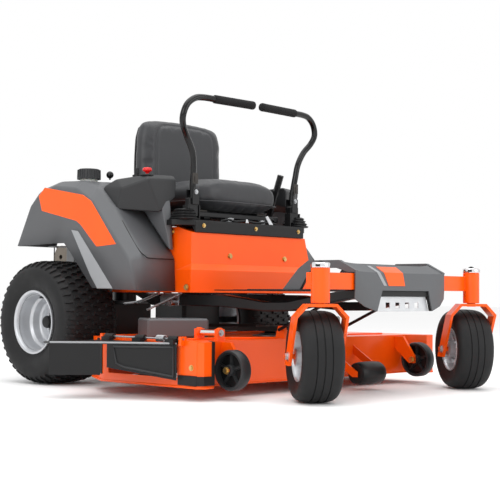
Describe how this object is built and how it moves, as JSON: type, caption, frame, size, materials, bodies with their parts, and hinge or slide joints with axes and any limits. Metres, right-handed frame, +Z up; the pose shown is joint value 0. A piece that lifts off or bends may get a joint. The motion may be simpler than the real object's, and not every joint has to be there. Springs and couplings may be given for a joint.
{
  "type": "zero turn mower",
  "caption": "Rear-engine ride-on mower with lap-bar steering, swivelling front casters and a lifting side-discharge deck.",
  "frame": {"origin": "middle of the whole machine's box, on the ground", "axes": "+Z up, the front faces -Y, the operator's right is -X"},
  "size_m": [1.498, 1.8466, 1.0275],
  "materials": {
    "orange_paint": "gloss powder coat, orange",
    "black_paint": "satin black powder coat",
    "grey_moulding": "grained dark grey moulding",
    "black_moulding": "fine matt black moulding",
    "tank_poly": "translucent white moulded tank",
    "red_knob": "gloss red",
    "seat_vinyl": "grained dark grey vinyl",
    "tyre": "matt black rubber",
    "soft_grip": "matt foam grip",
    "belt": "matt black belt",
    "rim_paint": "silver paint",
    "bright_steel": "zinc plated",
    "cast_metal": "as cast"
  },
  "bodies": {
    "frame": {"frame_rail_right": "black_paint", "frame_rail_left": "black_paint", "front_axle_beam": "orange_paint", "foot_pan": "black_paint", "foot_fascia": "grey_moulding", "step_tread": "bright_steel", "seat_box": "orange_paint", "lever_tray": "black_paint", "fender_right": "grey_moulding", "fender_left": "grey_moulding", "engine_plate": "black_paint", "rear_guard": "black_paint", "engine_block": "cast_metal", "engine_shroud": "black_moulding", "muffler": "bright_steel", "transaxle_right": "cast_metal", "transaxle_left": "cast_metal", "fuel_tank": "tank_poly", "battery": "black_moulding"},
    "deck": {"deck_shell": "orange_paint", "belt_cover_right": "grey_moulding", "belt_cover_left": "grey_moulding", "deck_belt": "belt", "chute_hinge_rod": "bright_steel"},
    "chute": {"chute_deflector": "black_moulding"},
    "lift_lever": {"lift_lever": "black_paint"},
    "deck_link": {"deck_link": "black_paint"},
    "crank_pulley": {"crank_pulley": "bright_steel"},
    "front_roller": {"front_roller": "black_moulding"},
    "seat_base": {"seat_pan": "black_paint"},
    "seat": {"seat_cushion": "seat_vinyl", "seat_back": "seat_vinyl"},
    "fuel_cap": {"fuel_cap": "black_moulding"},
    "pto_knob": {"pto_knob": "red_knob"},
    "throttle_lever": {"throttle_lever": "black_moulding"},
    "ignition_key": {"ignition_key": "black_moulding"},
    "rear_wheel_right": {"rear_tyre_right": "tyre", "rear_rim_right": "rim_paint"},
    "caster_right": {"fork_right": "orange_paint"},
    "front_wheel_right": {"front_tyre_right": "tyre", "front_rim_right": "rim_paint"},
    "lever_hub_right": {"lever_hub_right": "black_paint"},
    "lap_bar_right": {"lap_bar_right": "black_paint", "grip_right": "soft_grip"},
    "gauge_wheel_right": {"gauge_wheel_right": "black_moulding"},
    "rear_wheel_left": {"rear_tyre_left": "tyre", "rear_rim_left": "rim_paint"},
    "caster_left": {"fork_left": "orange_paint"},
    "front_wheel_left": {"front_tyre_left": "tyre", "front_rim_left": "rim_paint"},
    "lever_hub_left": {"lever_hub_left": "black_paint"},
    "lap_bar_left": {"lap_bar_left": "black_paint", "grip_left": "soft_grip"},
    "gauge_wheel_left": {"gauge_wheel_left": "black_moulding"},
    "spindle_right": {"spindle_right": "bright_steel", "blade_right": "bright_steel"},
    "spindle_centre": {"spindle_centre": "bright_steel", "blade_centre": "bright_steel"},
    "spindle_left": {"spindle_left": "bright_steel", "blade_left": "bright_steel"}
  },
  "joints": [
    {"name": "rear_wheel_right_spin", "type": "hinge", "parent": "frame", "child": "rear_wheel_right", "pos_m": [-0.339, 0.35574, 0.2225], "axis": [1, 0, 0], "continuous": true},
    {"name": "caster_right_swivel", "type": "hinge", "parent": "frame", "child": "caster_right", "pos_m": [-0.278, -0.84126, 0.355], "axis": [0, 0, 1], "continuous": true},
    {"name": "front_wheel_right_spin", "type": "hinge", "parent": "caster_right", "child": "front_wheel_right", "pos_m": [-0.23686, -0.78463, 0.14], "axis": [0.809, -0.5878, 0], "continuous": true},
    {"name": "lever_right_drive", "type": "hinge", "parent": "frame", "child": "lever_hub_right", "pos_m": [-0.136, -0.13326, 0.622], "axis": [1, 0, 0], "range_deg": [-14, 14]},
    {"name": "lap_bar_right_swing", "type": "hinge", "parent": "lever_hub_right", "child": "lap_bar_right", "pos_m": [-0.131, -0.13326, 0.684], "axis": [0, -1, 0], "range_deg": [0, 30]},
    {"name": "gauge_wheel_right_spin", "type": "hinge", "parent": "deck", "child": "gauge_wheel_right", "pos_m": [-0.359, -0.55826, 0.092], "axis": [1, 0, 0], "continuous": true},
    {"name": "rear_wheel_left_spin", "type": "hinge", "parent": "frame", "child": "rear_wheel_left", "pos_m": [0.601, 0.35574, 0.2225], "axis": [1, 0, 0], "continuous": true},
    {"name": "caster_left_swivel", "type": "hinge", "parent": "frame", "child": "caster_left", "pos_m": [0.54, -0.84126, 0.355], "axis": [0, 0, 1], "continuous": true},
    {"name": "front_wheel_left_spin", "type": "hinge", "parent": "caster_left", "child": "front_wheel_left", "pos_m": [0.58114, -0.78463, 0.14], "axis": [0.809, -0.5878, 0], "continuous": true},
    {"name": "lever_left_drive", "type": "hinge", "parent": "frame", "child": "lever_hub_left", "pos_m": [0.398, -0.13326, 0.622], "axis": [1, 0, 0], "range_deg": [-14, 14]},
    {"name": "lap_bar_left_swing", "type": "hinge", "parent": "lever_hub_left", "child": "lap_bar_left", "pos_m": [0.393, -0.13326, 0.684], "axis": [0, 1, 0], "range_deg": [0, 30]},
    {"name": "gauge_wheel_left_spin", "type": "hinge", "parent": "deck", "child": "gauge_wheel_left", "pos_m": [0.621, -0.55826, 0.092], "axis": [1, 0, 0], "continuous": true},
    {"name": "front_roller_spin", "type": "hinge", "parent": "deck", "child": "front_roller", "pos_m": [0.268, -0.59726, 0.0585], "axis": [1, 0, 0], "continuous": true},
    {"name": "deck_lift", "type": "slide", "parent": "frame", "child": "deck", "axis": [0, 0, 1], "range_m": [0, 0.064]},
    {"name": "lift_lever_pull", "type": "hinge", "parent": "frame", "child": "lift_lever", "pos_m": [0.393, -0.00426, 0.6], "axis": [-1, 0, 0], "range_deg": [0, 46]},
    {"name": "deck_link_turn", "type": "hinge", "parent": "frame", "child": "deck_link", "pos_m": [0.131, -0.70426, 0.318], "axis": [1, 0, 0], "range_deg": [0, 14.5]},
    {"name": "crank_pulley_spin", "type": "hinge", "parent": "frame", "child": "crank_pulley", "pos_m": [0.131, 0.59574, 0.255], "axis": [0, 0, 1], "continuous": true},
    {"name": "spindle_right_spin", "type": "hinge", "parent": "deck", "child": "spindle_right", "pos_m": [-0.269, -0.13426, 0.14], "axis": [0, 0, 1], "continuous": true},
    {"name": "spindle_centre_spin", "type": "hinge", "parent": "deck", "child": "spindle_centre", "pos_m": [0.131, -0.26426, 0.14], "axis": [0, 0, 1], "continuous": true},
    {"name": "spindle_left_spin", "type": "hinge", "parent": "deck", "child": "spindle_left", "pos_m": [0.531, -0.13426, 0.14], "axis": [0, 0, 1], "continuous": true},
    {"name": "chute_fold", "type": "hinge", "parent": "deck", "child": "chute", "pos_m": [-0.4975, -0.28626, 0.188], "axis": [0, 1, 0], "range_deg": [0, 80]},
    {"name": "seat_tilt", "type": "hinge", "parent": "frame", "child": "seat_base", "pos_m": [0.131, -0.09426, 0.6], "axis": [1, 0, 0], "range_deg": [0, 35]},
    {"name": "seat_slide", "type": "slide", "parent": "seat_base", "child": "seat", "axis": [0, 1, 0], "range_m": [-0.03, 0.03]},
    {"name": "fuel_cap_turn", "type": "hinge", "parent": "frame", "child": "fuel_cap", "pos_m": [-0.269, 0.27274, 0.76], "axis": [0, 0, 1], "continuous": true},
    {"name": "pto_pull", "type": "slide", "parent": "frame", "child": "pto_knob", "axis": [0, 0, 1], "range_m": [0, 0.012]},
    {"name": "throttle_swing", "type": "hinge", "parent": "frame", "child": "throttle_lever", "pos_m": [-0.219, 0.21374, 0.744], "axis": [1, 0, 0], "range_deg": [-15, 15]},
    {"name": "key_turn", "type": "hinge", "parent": "frame", "child": "ignition_key", "pos_m": [-0.249, 0.03074, 0.747], "axis": [0, 0, 1], "range_deg": [0, 90]}
  ],
  "couplings": [
    {"joint": "lift_lever_pull", "follows": "deck_lift", "rad_per_m": 12.27},
    {"joint": "deck_link_turn", "follows": "deck_lift", "rad_per_m": 3.87},
    {"joint": "spindle_right_spin", "follows": "crank_pulley_spin", "ratio": 0.9},
    {"joint": "spindle_centre_spin", "follows": "crank_pulley_spin", "ratio": 0.9},
    {"joint": "spindle_left_spin", "follows": "crank_pulley_spin", "ratio": 0.9}
  ]
}
